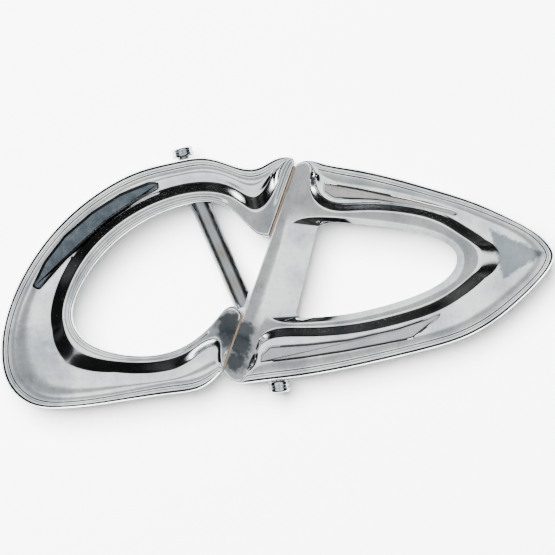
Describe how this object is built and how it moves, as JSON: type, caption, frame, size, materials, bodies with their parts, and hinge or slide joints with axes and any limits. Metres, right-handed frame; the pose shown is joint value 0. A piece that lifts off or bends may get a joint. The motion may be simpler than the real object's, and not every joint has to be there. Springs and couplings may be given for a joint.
{
  "type": "snap shackle",
  "caption": "Flat chromed snap shackle: a bowed hook half with a sprung gate bar swivels on a slanted seam against a pointed eye half that holds a pull-knob plunger.",
  "frame": {"origin": "centre of the overall box, on the plane that the back ridges rest on", "axes": "+X along the shackle from the hook's nose to the eye's nose, +Z out of the front face"},
  "size_m": [0.1104, 0.0525, 0.01],
  "materials": {
    "polished_chrome_casting": "polished and plated, light handling scuffs",
    "chrome_bar": "drawn bar, plated, slightly worn",
    "chrome_knob": "turned and plated",
    "stainless_pin": "ground",
    "spring_steel": "drawn wire, bright",
    "bronze_shim": "rolled, dulled"
  },
  "bodies": {
    "eye": {"eye_front_shell": "polished_chrome_casting", "eye_back_shell": "polished_chrome_casting", "eye_dowels": "stainless_pin", "swivel_bush": "bronze_shim", "lock_sleeve": "stainless_pin", "lock_spring": "spring_steel"},
    "hook": {"hook_front_shell": "polished_chrome_casting", "hook_back_shell": "polished_chrome_casting", "hook_dowels": "stainless_pin", "seam_shim_lower": "bronze_shim", "seam_shim_upper": "bronze_shim", "swivel_bolt": "stainless_pin", "bolt_washer": "bronze_shim", "bolt_key": "stainless_pin", "gate_pivot_pin": "stainless_pin", "gate_washers": "bronze_shim", "gate_spring": "spring_steel"},
    "gate": {"gate_bar": "chrome_bar", "gate_knob": "chrome_knob"},
    "lock": {"lock_pin": "stainless_pin", "lock_knob": "chrome_knob"}
  },
  "joints": [
    {"name": "twist", "type": "hinge", "parent": "eye", "child": "hook", "pos_m": [-0.00825, -0.01185, 0.005], "axis": [0.9436, -0.331, 0], "continuous": true},
    {"name": "gate_swing", "type": "hinge", "parent": "hook", "child": "gate", "pos_m": [-0.0175, 0.01935, 0.005], "axis": [0, 0, -1], "range_deg": [0, 17], "stiffness_Nm_per_rad": 0.03, "springref_deg": -40.11, "deforming": ["gate_spring"]},
    {"name": "lock_pull", "type": "slide", "parent": "eye", "child": "lock", "axis": [0.117, -0.9931, 0], "range_m": [0, 0.00075], "stiffness_N_per_m": 400, "springref_m": -0.004, "deforming": ["lock_spring"]}
  ]
}
